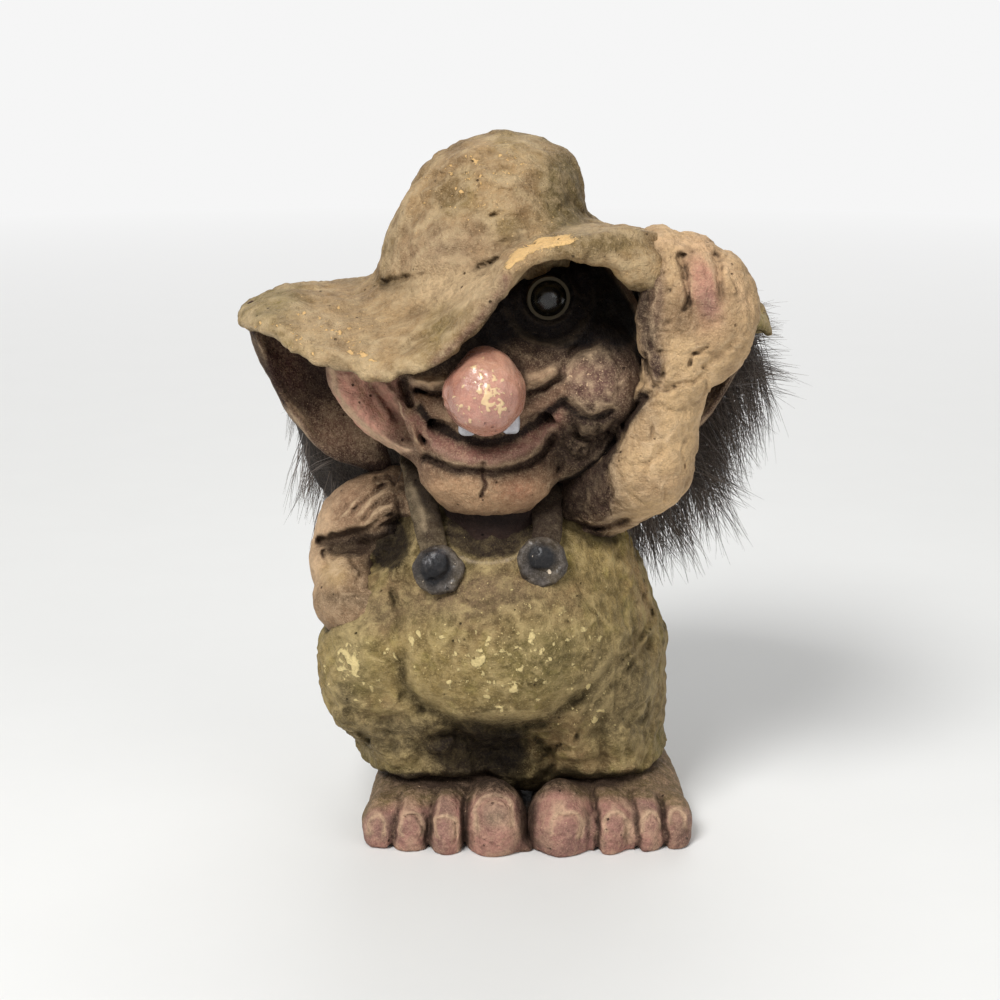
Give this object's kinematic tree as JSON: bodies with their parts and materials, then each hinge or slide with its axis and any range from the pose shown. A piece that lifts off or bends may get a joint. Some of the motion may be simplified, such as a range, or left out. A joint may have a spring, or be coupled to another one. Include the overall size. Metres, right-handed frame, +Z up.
{
  "type": "norwegian troll figure",
  "caption": "Standing folk troll ornament in dungarees, raising one hand to lift the wavy brim of its slouch hat, with big ears, a ball nose and a fur wig.",
  "frame": {"origin": "middle of the figure's box, on the surface that its two soles stand on", "axes": "+Z up; the troll looks along -Y; +X is the viewer's right, which is the troll's own left"},
  "size_m": [0.1186, 0.0953, 0.1549],
  "materials": {
    "feet": "matte mauve-pink toes over grey-green insteps, dark wash",
    "dungarees": "matte olive green with cream chips and dark wash",
    "foam": "hidden foam fill",
    "neck": "matte dark brown",
    "skin": "matte cream tan skin with brown wash and pink blush",
    "nose": "glossy salmon pink with flaked cream chips",
    "hat": "matte olive brown, pitted, with orange-tan chips on the edge",
    "eye_disc": "dark disc with an olive-gold ring",
    "eye_glass": "clear dark glass dome",
    "teeth": "satin white",
    "buttons": "glossy blue-black, chipped pale",
    "straps": "matte olive brown",
    "fur": "dark grey-brown long pile fur"
  },
  "bodies": {
    "root": {"right_foot": "feet", "left_foot": "feet", "dungarees": "dungarees", "foam_core": "foam", "right_trouser_leg": "dungarees", "left_trouser_leg": "dungarees", "neck": "neck", "head": "skin", "nose": "nose", "right_tooth": "teeth", "left_tooth": "teeth", "eye_disc": "eye_disc", "eye_glass": "eye_glass", "right_ear": "skin", "left_ear": "skin", "hat_crown": "hat", "hat_brim": "hat", "right_arm": "skin", "left_upper_arm": "skin", "left_forearm": "skin", "left_hand": "skin", "right_strap": "straps", "left_strap": "straps", "right_button": "buttons", "left_button": "buttons", "wig": "fur"}
  },
  "joints": []
}
